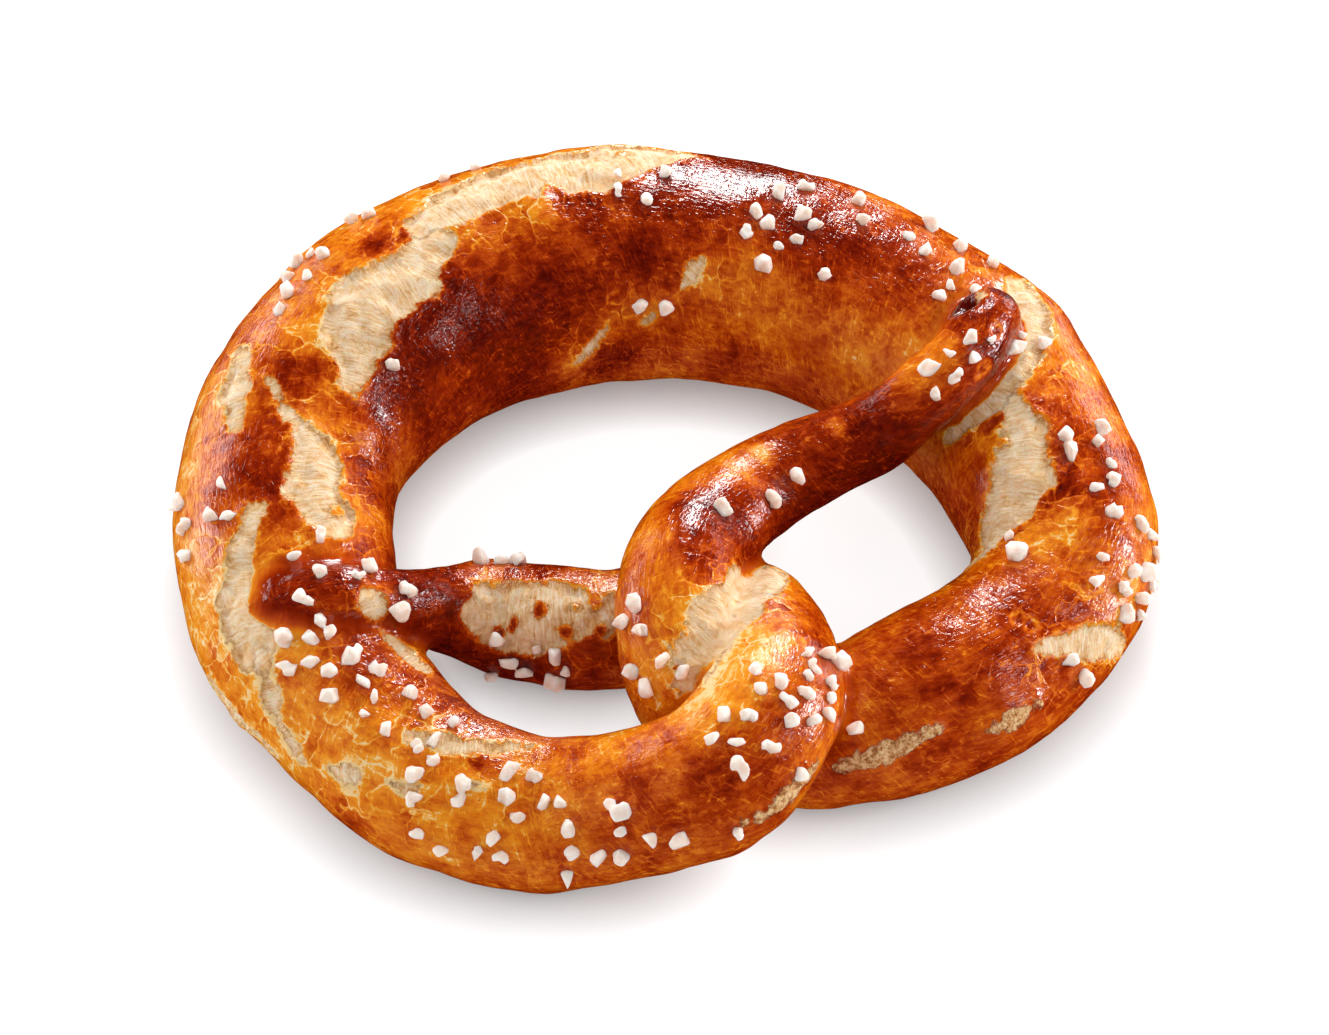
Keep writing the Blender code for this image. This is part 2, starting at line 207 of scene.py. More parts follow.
# The crust's edge stands up a little: how high and how wide, in mm
LIP_HEIGHT = 0.4
LIP_WIDTH = 0.8
# How uneven the torn crumb is: size and height of its tufts, in mm
TUFTS = ((3.4, 0.7), (1.6, 0.3))
# How ragged a tear's edge is: size of the teeth and how far they reach, in mm
EDGE_TEETH = ((5.0, 1.5), (1.9, 0.8))
# Shifts, in mm, that keep the patterns of the teeth and the tufts apart from that of the dough
TEETH_SHIFT = 40.0
TUFT_SHIFT = 90.0

# Swellings and hollows of the dough: along, around, radius and height in mm
LUMPS = (
    (219, 42, 8.0, 1.6),
    (127, 34, 5.0, 1.0),
    (147, 27, 4.5, 0.9),
    (487, 17, 5.0, 0.9),
    (29, 190, 7.0, 0.8),
    (62, 150, 8.0, 0.7),
    (355, 78, 6.0, 0.8),
    (378, 86, 8.0, 0.7),
    (338, 134, 6.0, 0.9),
    (364, 137, 5.0, 0.8),
    (303, 101, 4.0, 0.8),
    (4, 112, 5.0, 0.6),
    (1, 46, 2.6, -5.5),
)
# How deep the crease is where two strands meet, in mm, and the seam value where it starts
CREASE_DEPTH = 0.5
CREASE_START = 0.4
# Prints of grains that fell off: along, around. Each is a pit with a golden edge, and the reach of the
# pit and the width of the edge are in radii
PRINTS = ((156, 80), (157, 72), (6, 131), (11, 156))
PRINT_RADIUS = 1.1
PRINT_DEPTH = 0.5
PRINT_BOWL = 1.2
PRINT_RIM = 0.35
NO_PRINT = 9.0
# Broad and fine unevenness of the dough: size and height in mm
SWELLS = ((22.0, 0.9), (7.0, 0.35), (2.6, 0.1))

# How dark the crust is: along, around, reach in mm, and darkness from 0 golden to 1 mahogany, with
# dry pale flecks at or below 0 and, above 1, painted shade in the hole in the right end. Most patches
# are the crust's own bake, but some are painted light: the lower front flank and a fold near the front
# left edge are darkened as painted shade, and a few spots on the outer flanks and on the ring's inner
# crest are paler in part as painted sheen and highlight
BAKED_WITH_PAINTED_LIGHT = {
    "belly_crest": (
        (240, 80, 10, 0.55), (255, 78, 9, 0.65), (267, 60, 12, 0.85), (275, 100, 10, 0.72),
        (292, 108, 8, 0.7), (228, 92, 5, 0.35), (265, 80, 8, 0.85), (318, 118, 8, 0.6),
        (300, 60, 9, 0.4), (317, 70, 6, 0.4),
    ),
    "belly_inside": (
        (240, 112, 9, 0.75), (286, 128, 10, 0.85), (312, 150, 12, 0.9), (330, 134, 10, 0.92),
        (343, 150, 10, 0.75), (296, 172, 9, 0.66), (283, 149, 5, 0.45), (272, 128, 6, 0.35),
        (257, 140, 9, 0.35), (242, 136, 9, 0.3), (231, 134, 8, 0.3), (245, 171, 10, 0.66),
        (265, 165, 9, 0.6), (320, 170, 10, 0.85), (303, 176, 5, 0.3), (292, 158, 4, 0.3),
        (255, 110, 7, 0.9), (247, 96, 7, 0.85), (264, 113, 5, 0.4), (236, 107, 7, 0.8),
        (274, 118, 6, 0.8), (259, 140, 5, 0.5), (261, 171, 5, 0.7), (294, 118, 6, 0.6),
        (310, 99, 7, 0.3),
    ),
    "back_outside": ((250, 43, 9, 0.4), (233, 55, 8, 0.5), (285, 40, 9, 0.45), (310, 45, 9, 0.4)),
    "left_shoulder": (
        (330, 78, 2.8, 1.05), (335, 60, 8, 0.4), (346, 64, 6, 0.38), (358, 91, 3.6, 0.9),
        (360, 106, 4, 0.45), (346, 134, 6, 0.85), (362, 134, 6, 0.76), (325, 60, 8, 0.4),
        (352, 85, 4, 0.4), (338, 80, 4, 0.35),
    ),
    "left_side": (
        (370, 70, 5, 0.75), (380, 84, 5, 0.82), (376, 76, 6, 0.8), (372, 88, 4, 0.7),
        # (365, 48), (375, 40) and (394, 35) are paler in part as painted sheen on the outer flank
        (366, 62, 5, 0.45), (365, 48, 6, 0.3), (375, 40, 8, 0.3), (386, 62, 5, 0.65),
        (394, 35, 8, 0.22), (406, 26, 7, 0.25), (370, 150, 8, 0.6), (390, 150, 9, 0.6),
        (385, 135, 4, 0.3), (368, 120, 4, 0.35),
    ),
    "left_end": (
        (614, 112, 8, 0.85), (608, 100, 6, 0.82), (604, 135, 5, 0.6), (594, 110, 7, 0.8),
        (590, 165, 8, 0.8), (592, 140, 6, 0.72), (603, 70, 5, 0.6),
    ),
    "left_arm": (
        (570, 60, 8, 0.75), (572, 168, 9, 0.85), (556, 150, 7, 0.7), (575, 85, 5, 0.35),
        (560, 80, 5, 0.45),
    ),
    "front_left": (
        (413, 92, 7, 0.65), (425, 104, 7, 0.62), (420, 88, 4, 0.7), (427, 76, 6, 0.42),
        (416, 24, 6, 0.3), (412, 50, 6, 0.5), (424, 45, 7, 0.28), (418, 70, 6, 0.4),
        # (409, 15) is darkened as painted shade in a fold by the outer edge
        (411, 73, 4, 0.12), (409, 15, 4, 0.6), (420, 18, 7, 0.14),
    ),
    "front": (
        # The patches from (430, -8) to (479, 6), low on the front flank, are darkened in part as painted
        # shade
        (432, 12, 9, 0.42), (430, -8, 8, 0.6), (445, 0, 8, 0.6), (458, 4, 8, 0.62), (470, 12, 8, 0.66),
        (479, 6, 7, 0.62), (447, 61, 4, 0.7), (437, 72, 5, 0.35), (443, 34, 8, 0.2), (455, 75, 8, 0.3),
        (453, 27, 9, 0.4), (468, 95, 9, 0.38), (468, 37, 9, 0.42), (471, -4, 9, 0.5),
        (440, 50, 5, 0.2), (440, 115, 8, 0.6), (455, 130, 8, 0.6), (438, 64, 3, 0.5),
        (450, 55, 4, 0.4), (438, 40, 2.4, 0.7),
    ),
    "dry_flecks": (
        (428, 38, 2.4, -0.12), (431, 54, 1.6, -0.1), (436, 51, 1.4, -0.15), (444, 69, 1.5, -0.2),
        (448, 90, 1.4, -0.1), (424, 60, 1.6, -0.1), (35, 95, 1.8, -0.2), (50, 88, 2.0, -0.2),
        (316, 66, 1.6, 0.0),
    ),
    "right_lobe": (
        (480, 84, 6, 0.5), (481, 52, 6, 0.75), (474, 62, 5, 0.7), (486, 48, 5, 0.66),
        (488, 74, 4, 0.7), (502, 114, 5, 0.12), (492, 116, 6, 0.15), (484, 100, 6, 0.3),
        (510, 76, 6, 0.55), (503, 47, 6, 0.6), (495, 56, 5, 0.55), (506, 92, 4, 0.2),
        (478, 20, 7, 0.5), (490, 8, 5, 0.4),
    ),
    "left_lobe": (
        # (88, 45) and (97, 40) are paler in part as painted sheen on the lobe's left flank
        (88, 45, 6, 0.45), (71, 110, 5, 0.85), (82, 43, 5, 0.4), (76, 50, 5, 0.35), (72, 76, 4, 0.62),
        (71, 92, 6, 0.88), (78, 112, 5, 0.7), (80, 140, 4, 0.62), (65, 116, 6, 0.7), (62, 62, 6, 0.4),
        (88, 70, 4, 0.45), (62, 150, 7, 0.7), (60, 90, 5, 0.4), (97, 40, 6, 0.42), (68, 60, 5, 0.38),
    ),
    "right_arm": (
        (48, 118, 6, 0.6), (42, 110, 4, 0.45), (36, 120, 6, 0.85), (29, 123, 7, 0.9),
        (29, 170, 9, 0.9), (22, 140, 6, 0.8), (47, 150, 8, 0.85), (32, 75, 6, 0.55),
        (18, 135, 4, 0.55), (20, 100, 5, 0.5), (14, 80, 5, 0.35), (8, 118, 6, 0.72), (2, 110, 6, 0.75),
        # (1, 46, 3, 1.5) is painted shade in the hole in the right end
        (6, 150, 5, 0.8), (1, 46, 3, 1.5), (-3, 90, 4, 0.6),
    ),
    "right_ring": (
        (215, 62, 5, 0.4), (205, 58, 6, 0.4), (198, 55, 6, 0.5), (192, 40, 7, 0.55),
        # (178, 27) is paler in part as painted sheen on the outer flank
        (186, 76, 6, 0.68), (178, 66, 6, 0.62), (173, 90, 5, 0.3), (178, 27, 8, 0.3),
        (162, 80, 6, 0.65), (163, 60, 5, 0.65), (156, 76, 3.4, 0.85), (168, 42, 6, 0.4),
        (196, 140, 7, 0.5), (188, 160, 9, 0.62), (196, 84, 5, 0.72), (170, 60, 5, 0.5),
    ),
    "front_right": (
        # (139, 111) is paler in part as a painted highlight on the ring's inner crest
        (139, 111, 7, 0.52), (131, 112, 7, 0.45), (133, 84, 6, 0.68), (146, 76, 8, 0.7),
        (139, 92, 6, 0.72), (152, 44, 7, 0.5), (152, -10, 9, 0.6), (134, 55, 6, 0.5),
        (139, 10, 9, 0.64), (126, 8, 8, 0.56), (148, 95, 6, 0.62), (155, 100, 6, 0.52),
        (125, 70, 6, 0.5), (158, 24, 6, 0.62), (162, 4, 7, 0.6), (170, 0, 8, 0.55),
    ),
}
# How dark the crust is away from all patches, and how much that weighs against them
COMMON_BAKE = (0.5, 0.12)
# The base that lay on the tray: how high up it goes in mm, and how fast it fades where the skin turns up
BASE_HEIGHT = 1.6
BASE_FADE = 1.6
# How far outside and inside an edge, in mm, the material has to know its distance from it
TEAR_KNOWN = (-12, 8)
RUBBED_KNOWN = (-4, 4)


def rope_rows():
    """The rope's sections as x, y, z of the middle, half width and half height, evenly spaced."""
    rows = []
    for x, y, gap, wide, high in ROPE_STATIONS:
        flattened = BASE_DEPTH * max(0.0, 1.0 - gap / BASE_GAP)
        rows.append((x, y, gap + high / 2 - flattened, wide / 2, high / 2))
    rows = np.array(rows)
    gaps = np.linalg.norm(np.diff(rows[:, :3], axis=0), axis=1) ** 0.5
    slopes = np.diff(rows, axis=0) / gaps[:, None]
    before, after = gaps[:-1, None], gaps[1:, None]
    inner = (slopes[:-1] * after + slopes[1:] * before) / (before + after)
    slopes = np.vstack([slopes[:1], inner, slopes[-1:]])
    u = (np.arange(CURVE_POINTS) / CURVE_POINTS)[:, None]
    spans = []
    for i, gap in enumerate(gaps):
        spans.append(
            (2 * u**3 - 3 * u**2 + 1) * rows[i]
            + (u**3 - 2 * u**2 + u) * gap * slopes[i]
            + (3 * u**2 - 2 * u**3) * rows[i + 1]
            + (u**3 - u**2) * gap * slopes[i + 1]
        )
    curve = np.vstack([*spans, rows[-1:]])
    run = np.concatenate([[0.0], np.cumsum(np.linalg.norm(np.diff(curve[:, :3], axis=0), axis=1))])
    along = np.linspace(0.0, run[-1], round(run[-1] / RING_STEP) + 1)
    return along, np.array([np.interp(along, run, column) for column in curve.T]).T


def round_tip(row, onward):
    """Sections that shrink to a round end."""
    onward = onward[:3] / np.linalg.norm(onward[:3])
    rings = []
    for i in range(1, TIP_RINGS + 1):
        turn = i / TIP_RINGS * math.pi / 2
        ring = row.copy()
        ring[:3] += onward * row[3] * TIP_LENGTH * math.sin(turn)
        ring[3:] *= max(math.cos(turn), TIP_END)
        rings.append(ring)
    return np.array(rings)


rope_along, rope = rope_rows()
# The round ends' sections are added, with their places along the rope, and each gets its directions
reach = TIP_LENGTH * np.sin(np.arange(1, TIP_RINGS + 1) / TIP_RINGS * math.pi / 2)
rope_along = np.concatenate([-reach[::-1] * rope[0, 3], rope_along, rope_along[-1] + reach * rope[-1, 3]])
right_tip = round_tip(rope[0], rope[0] - rope[1])[::-1]
left_tip = round_tip(rope[-1], rope[-1] - rope[-2])
rope = np.vstack([right_tip, rope, left_tip])
forward = np.gradient(rope[:, :3], axis=0)
forward /= np.linalg.norm(forward, axis=1, keepdims=True)
outward = np.cross(forward, [0.0, 0.0, 1.0])
outward /= np.linalg.norm(outward, axis=1, keepdims=True)
upward = np.cross(outward, forward)


def section(index, around):
    """Points of one section of the rope in mm, and the way out of its skin at each."""
    turn = np.radians(np.atleast_1d(around))[:, None]
    x, y, z, wide, high = rope[index]
    points = (
        np.array([x, y, z])
        + wide * np.cos(turn) * outward[index]
        + high * np.sin(turn) * upward[index]
    )
    ways = np.cos(turn) / wide * outward[index] + np.sin(turn) / high * upward[index]
    return points, ways / np.linalg.norm(ways, axis=1, keepdims=True)


def read_points(mesh, name):
    """A mesh's vertex places or normals as rows."""
    values = np.empty(len(mesh.vertices) * 3, np.float32)
    mesh.vertices.foreach_get(name, values)
    return values.reshape(-1, 3).astype(float)


def remeshed(name, mesh, voxel, softening, rounds):
    """A piece with one closed skin round all of a mesh, with the edges softened."""
    made = bpy.data.objects.new(name, mesh)
    bpy.context.scene.collection.objects.link(made)
    weld = made.modifiers.new("weld", "REMESH")
    weld.mode = "VOXEL"
    weld.voxel_size = voxel * MM
    soften = made.modifiers.new("soften", "SMOOTH")
    soften.factor = softening
    soften.iterations = rounds
    graph = bpy.context.evaluated_depsgraph_get()
    made.data = bpy.data.meshes.new_from_object(made.evaluated_get(graph))
    made.modifiers.clear()
    bpy.data.meshes.remove(mesh)
    return made


def grown_together():
    """The skin of the whole rope as one piece, with the strands grown together where they cross."""
    around = np.arange(RING_SIDES) * 360.0 / RING_SIDES
    points = np.vstack([section(index, around)[0] for index in range(len(rope))])
    faces = []
    for ring in range(len(rope) - 1):
        here, on = ring * RING_SIDES, (ring + 1) * RING_SIDES
        for i in range(RING_SIDES):
            j = (i + 1) % RING_SIDES
            faces.append((here + i, here + j, on + j, on + i))
    faces.append(tuple(range(RING_SIDES))[::-1])
    faces.append(tuple(range(len(points) - RING_SIDES, len(points))))
    loft = bpy.data.meshes.new("rope")
    loft.from_pydata((points * MM).tolist(), [], faces)
    return remeshed("baked_dough_rope", loft, SKIN_VOXEL, SKIN_SOFTENING, SOFTENING_ROUNDS)


def places_on_rope(points):
    """For each point of the skin: mm along the rope, degrees round it, and the rope's radius there."""
    around = np.arange(0, 360, SEARCH_STEP)
    tree = KDTree(len(rope) * len(around))
    for index in range(len(rope)):
        for point in section(index, around)[0]:
            tree.insert(point, index)
    tree.balance()
    index = np.array([tree.find(point)[1] for point in points])
    for _ in range(SEARCH_ROUNDS):
        offset = points - rope[index, :3]
        along = rope_along[index] + (offset * forward[index]).sum(1)
        near = np.clip(np.searchsorted(rope_along, along), 1, len(rope) - 1)
        near -= along - rope_along[near - 1] < rope_along[near] - along
        index = np.clip(near, index - SEARCH_RINGS, index + SEARCH_RINGS)
    offset = points - rope[index, :3]
    along = rope_along[index] + (offset * forward[index]).sum(1)
    rise = (offset * upward[index]).sum(1) / rope[index, 4]
    out = (offset * outward[index]).sum(1) / rope[index, 3]
    around = np.degrees(np.arctan2(rise, out))
    # Degrees run from -90 to 270, so that they jump under the rope, where nothing shows
    around[around < -90] += 360
    return along, around, rope[index, 3:].mean(1)


def inside_lines(lines, along, around, radius):
    """For each place: mm inside the nearest line's band (below zero outside), along it, across it, and
    the band's half width."""
    best = np.full(len(along), FAR_OUTSIDE)
    run_at, side_at, half_at = np.zeros((3, len(along)))
    for line in lines:
        before = 0.0
        for (a0, r0, w0), (a1, r1, w1) in zip(line, line[1:]):
            run = np.stack([np.full(len(along), a1 - a0), np.radians(r1 - r0) * radius])
            here = np.stack([along - a0, np.radians(around - r0) * radius])
            length = np.hypot(*run)
            share = np.clip((here * run).sum(0) / length**2, 0, 1)
            half = w0 + (w1 - w0) * share
            inside = half - np.hypot(*(here - run * share))
            nearer = inside > best
            best[nearer] = inside[nearer]
            run_at[nearer] = (before + share * length)[nearer]
            side_at[nearer] = ((here[0] * run[1] - here[1] * run[0]) / length)[nearer]
            half_at[nearer] = half[nearer]
            before += math.hypot(a1 - a0, math.radians(r1 - r0) * USUAL_RADIUS)
    return best, run_at, side_at, half_at


def unevenness(points, size):
    """Smooth random rises and falls of about one size in mm, from -1 to 1."""
    return np.array([noise.noise(Vector(point)) for point in points / size])


def away_from(place_along, place_around, along, around, radius):
    """How far each place is from one place of the skin, in mm."""
    return np.hypot(along - place_along, np.radians(around - place_around) * radius)


def bake_level(along, around, radius):
    """How dark the crust is at each place, blended from the patches near it: its bake and some painted
    shade and sheen.
    """
    level, weight = COMMON_BAKE
    total = np.full(len(along), level * weight)
    weights = np.full(len(along), weight)
    for patch_along, patch_around, size, dark in sum(BAKED_WITH_PAINTED_LIGHT.values(), ()):
        near = np.exp(-((away_from(patch_along, patch_around, along, around, radius) / size) ** 2))
        total += near * dark
        weights += near
    return total / weights


def strand_seams(mesh, points, along):
    """The mesh's edges, and for each vertex 1 where two strands meet, fading to 0 a short way off."""
    ends = np.empty(len(mesh.edges) * 2, np.int32)
    mesh.edges.foreach_get("vertices", ends)
    ends = ends.reshape(-1, 2)
    meeting = np.abs(along[ends[:, 0]] - along[ends[:, 1]]) > STRAND_JUMP
    on_seam = np.unique(ends[meeting])
    tree = KDTree(len(on_seam))
    for index in on_seam:
        tree.insert(points[index], index)
    tree.balance()
    away = np.array([tree.find(point)[2] for point in points])
    return ends, np.clip(SEAM_VALUE - away / SEAM_FADE, 0, 1)


def evened(values, ends, share):
    """Values evened out between neighbours, each by its own share."""
    size = len(values)
    neighbours = np.bincount(ends.ravel(), minlength=size)
    for _ in range(SEAM_EVENINGS):
        total = np.bincount(ends[:, 0], values[ends[:, 1]], size)
        total += np.bincount(ends[:, 1], values[ends[:, 0]], size)
        values = values + share * (total / neighbours - values)
    return values


crust = grown_together()
points = read_points(crust.data, "co") / MM
ways = read_points(crust.data, "normal")
along, around, radius = places_on_rope(points)
inside, fibre_run, fibre_side, half = inside_lines(TEARS.values(), along, around, radius)
for scrap_along, scrap_around, size in SCRAPS:
    scrap = away_from(scrap_along, scrap_around, along, around, radius)
    inside = np.minimum(inside, scrap - size)
for size, teeth in EDGE_TEETH:
    inside += teeth * unevenness(points + TEETH_SHIFT, size)
rubbed = inside_lines(RUBBED.values(), along, around, radius)[0]
rubbed += RUBBED_TEETH[1] * unevenness(points, RUBBED_TEETH[0])
ends, seam = strand_seams(crust.data, points, along)
inside, rubbed = evened(inside, ends, seam), evened(rubbed, ends, seam)
printed = np.full(len(points), NO_PRINT)
for print_along, print_around in PRINTS:
    away = away_from(print_along, print_around, along, around, radius)
    printed = np.minimum(printed, away / PRINT_RADIUS)

rise = np.zeros(len(points))
middle = np.clip(1 - (fibre_side / np.maximum(half, THINNEST_HALF)) ** 2, 0, 1)
middle *= np.clip(half / FULL_SWELL_HALF, LEAST_SWELL, 1)
torn = np.clip(inside / RIM_SLOPE, 0, 1)
rise -= torn * (RIM_DROP * np.clip(half / FULL_DROP_HALF, LEAST_DROP, 1) - CRUMB_SWELL * middle)
for size, height in TUFTS:
    rise += torn * height * unevenness(points + TUFT_SHIFT, size)
rise += np.where(inside <= 0, LIP_HEIGHT * np.exp(-((inside / LIP_WIDTH) ** 2)), 0)
rise += np.clip(rubbed + 1, 0, 1) * GRIT_HEIGHT * (1 + unevenness(points, GRIT_SIZE))
for lump_along, lump_around, size, height in LUMPS:
    away = away_from(lump_along, lump_around, along, around, radius) / size
    rise += height * np.exp(-away * away)
pits = PRINT_DEPTH * np.clip(PRINT_BOWL - printed, 0, 1)
rise -= pits + CREASE_DEPTH * np.clip(seam - CREASE_START, 0, 1)
for size, height in SWELLS:
    rise += height * unevenness(points, size)
rise = evened(rise, ends, seam)
points += ways * rise[:, None]
points[:, 2] = np.maximum(points[:, 2], 0.0)
crust.data.vertices.foreach_set("co", (points * MM).astype(np.float32).ravel())
crust.data.update()
crust.data.shade_smooth()


def keep_values(mesh, **values):
    """Keeps a number for each vertex, for the material to read."""
    for name, numbers in values.items():
        layer = mesh.attributes.new(name, "FLOAT", "POINT")
        layer.data.foreach_set("value", np.asarray(numbers, np.float32))


low = np.clip((BASE_HEIGHT - points[:, 2]) / BASE_HEIGHT, 0, 1)
keep_values(
    crust.data,
    tear=np.clip(inside, *TEAR_KNOWN),
    fibre_run=fibre_run,
    fibre_side=fibre_side,
    rubbed=np.clip(rubbed, *RUBBED_KNOWN),
    bake=evened(bake_level(along, around, radius), ends, seam),
    printed=np.exp(-(((printed - 1) / PRINT_RIM) ** 2)),
    seam=seam,
    along=along,
    round=np.radians(around) * radius,
    underside=low * np.clip(-ways[:, 2] * BASE_FADE, 0, 1),
)


def linear(hex_colour):
    """An sRGB hex colour as the linear colour that the shaders take."""
    parts = [int(hex_colour[i : i + 2], 16) / 255 for i in (1, 3, 5)]
    return (*[c / 12.92 if c <= 0.04045 else ((c + 0.055) / 1.055) ** 2.4 for c in parts], 1.0)


def new_material(name):
    """A material, its node tree and its shader."""
    made = bpy.data.materials.new(name)
    made.use_nodes = True
    return made, made.node_tree, made.node_tree.nodes["Principled BSDF"]


def wire(tree, node, wires):
    """Gives each socket in wires, in order or by name, its value or its link."""
    by_socket = wires if isinstance(wires, dict) else dict(enumerate(wires))
    for socket, value in by_socket.items():
        if isinstance(value, bpy.types.NodeSocket):
            tree.links.new(value, node.inputs[socket])
        else:
            node.inputs[socket].default_value = value


def add(tree, kind, wires=(), out=0, ramp=(), **settings):
    """Adds a node with its settings and wires, and returns one of its outputs."""
    made = tree.nodes.new("ShaderNode" + kind)
    for name, value in settings.items():
        setattr(made, name, value)
    wire(tree, made, wires)
    if ramp:
        stops = made.color_ramp.elements
        while len(stops) < len(ramp):
            stops.new(1.0)
        for stop, (place, colour) in zip(stops, ramp):
            stop.position = place
            stop.color = linear(colour)
    return made.outputs[out]


# The crust's colours, from golden where it was stretched to mahogany where it browned longest
CRUST_COLOURS = (
    (0.0, "#f1cb8c"),
    (0.05, "#f2b250"),
    (0.12, "#ef9a16"),
    (0.25, "#e78404"),
    (0.42, "#d26202"),
    (0.58, "#b44001"),
    (0.72, "#932701"),
    (0.86, "#731501"),
    (1.0, "#500901"),
)
# Those of the torn crumb and the rubbed crumb, from painted shade in their hollows to painted light on
# their tufts, and of the base
CRUMB_COLOURS_PAINTED_SHADE_TO_LIGHT = ((0.26, "#bc793c"), (0.37, "#daa566"), (0.46, "#eac392"), (0.58, "#f4ddbc"))
GRIT_COLOURS_PAINTED_SHADE_TO_LIGHT = ((0.36, "#8a4716"), (0.47, "#cd8e50"), (0.59, "#f2d09c"))
BASE_COLOURS = ((0.35, "#5c2408"), (0.65, "#9a5320"))
# Random patterns: what each lies over, the size of its grains in mm, how many finer layers it has, how
# strong each layer is against the one before, and how much it swirls. Grains in the body have one size
# every way. Others have one along the rope or the tear, one across, and a third that changes nothing
PATTERNS = {
    "teeth": ("body", 1.1111, 4, 0.65, 0),
    "blotches": ("body", 6.6667, 4, 0.6, 0),
    "mottle": ("skin", (2.4, 1.3, 1), 5, 0.78, 0),
    "cell_bends": ("body", 4.5455, 2, 0.5, 0),
    "vein_areas": ("body", 7.6923, 3, 0.6, 0),
    "hairs": ("slant", (0.5, 3.4, 1), 2, 0.6, 0.5),
    "specks": ("skin", (2, 0.9, 1), 4, 0.66, 0),
    "speck_areas": ("body", 5, 2, 0.55, 0),
    "browned": ("body", 4.1667, 4, 0.6, 0),
    "flakes": ("skin", (3.6, 2.2, 1), 5, 0.7, 0),
    "fibres": ("tear", (0.42, 3.4, 1), 4, 0.66, 0.9),
    "fluff": ("body", 2.381, 6, 0.74, 0.6),
    "grit": ("body", 0.9091, 4, 0.8, 0),
    "base": ("body", 2.8571, 5, 0.7, 0),
    "glaze": ("body", 1.4286, 3, 0.6, 0),
    "wrinkles": ("slant", (1.5, 0.55, 1), 2, 0.5, 0.8),
    "creases": ("skin", (0.8, 2.4, 1), 2, 0.5, 0.6),
}
# The cells that the veins run between, in mm along and round the rope, and how much they are bent
CELL_SIZE = (4, 6, 1)
CELL_BEND = 1.3
# How far hairs and wrinkles lean: mm along the rope for each mm round it
SLANT = 0.45
# How far red, green and blue light spread in the crumb, in mm
CRUMB_GLOW = (1.8, 0.9, 0.4)


